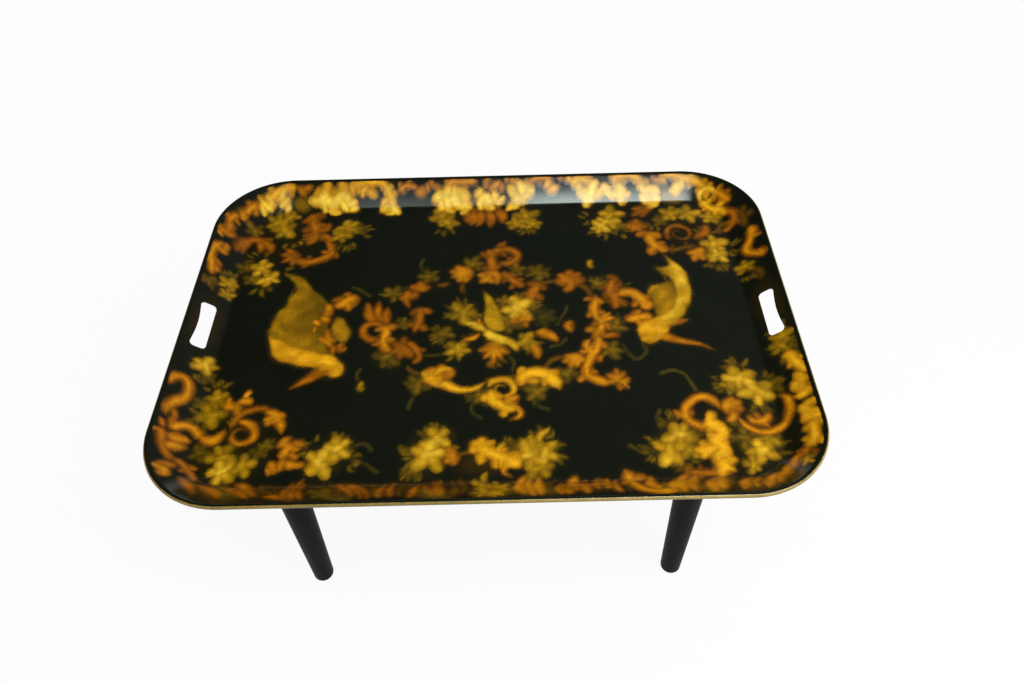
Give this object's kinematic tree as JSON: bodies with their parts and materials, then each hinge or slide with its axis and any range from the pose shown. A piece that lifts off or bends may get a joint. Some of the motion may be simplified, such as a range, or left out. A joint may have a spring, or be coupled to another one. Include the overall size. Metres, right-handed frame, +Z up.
{
  "type": "tray table",
  "caption": "Low table: a large round-cornered painted metal tray with flared wall, rolled rim and hand holes lifts off a black wooden stand with tapered legs.",
  "frame": {"origin": "on the floor under the middle of the table", "axes": "+X along the tray, -Y to the front as pictured, +Z up"},
  "size_m": [0.8, 0.574, 0.42],
  "materials": {
    "lacquered_sheet": "glossy black lacquer with painted gold and yellow ornament",
    "iron_wire": "plain drawn wire",
    "ebonised_wood": "satin black stain and varnish",
    "bare_wood": "unfinished beech",
    "felt": "pressed felt",
    "screw_steel": "dulled zinc",
    "glide_steel": "nickelled, worn on the floor side"
  },
  "bodies": {
    "stand": {"leg_front_left": "ebonised_wood", "leg_front_right": "ebonised_wood", "leg_back_left": "ebonised_wood", "leg_back_right": "ebonised_wood", "apron_front": "ebonised_wood", "apron_back": "ebonised_wood", "apron_left": "ebonised_wood", "apron_right": "ebonised_wood", "corner_block_front_left": "bare_wood", "corner_block_front_right": "bare_wood", "corner_block_back_left": "bare_wood", "corner_block_back_right": "bare_wood", "corner_block_screws": "screw_steel", "felt_strip_front": "felt", "felt_strip_back": "felt", "felt_strip_left": "felt", "felt_strip_right": "felt", "foot_glide_front_left": "glide_steel", "foot_glide_front_right": "glide_steel", "foot_glide_back_left": "glide_steel", "foot_glide_back_right": "glide_steel"},
    "tray": {"tray_pan": "lacquered_sheet", "rim_wire": "iron_wire"}
  },
  "joints": [
    {"name": "tray_lift", "type": "slide", "parent": "stand", "child": "tray", "axis": [0, 0, 1], "range_m": [0, 0.3]}
  ]
}
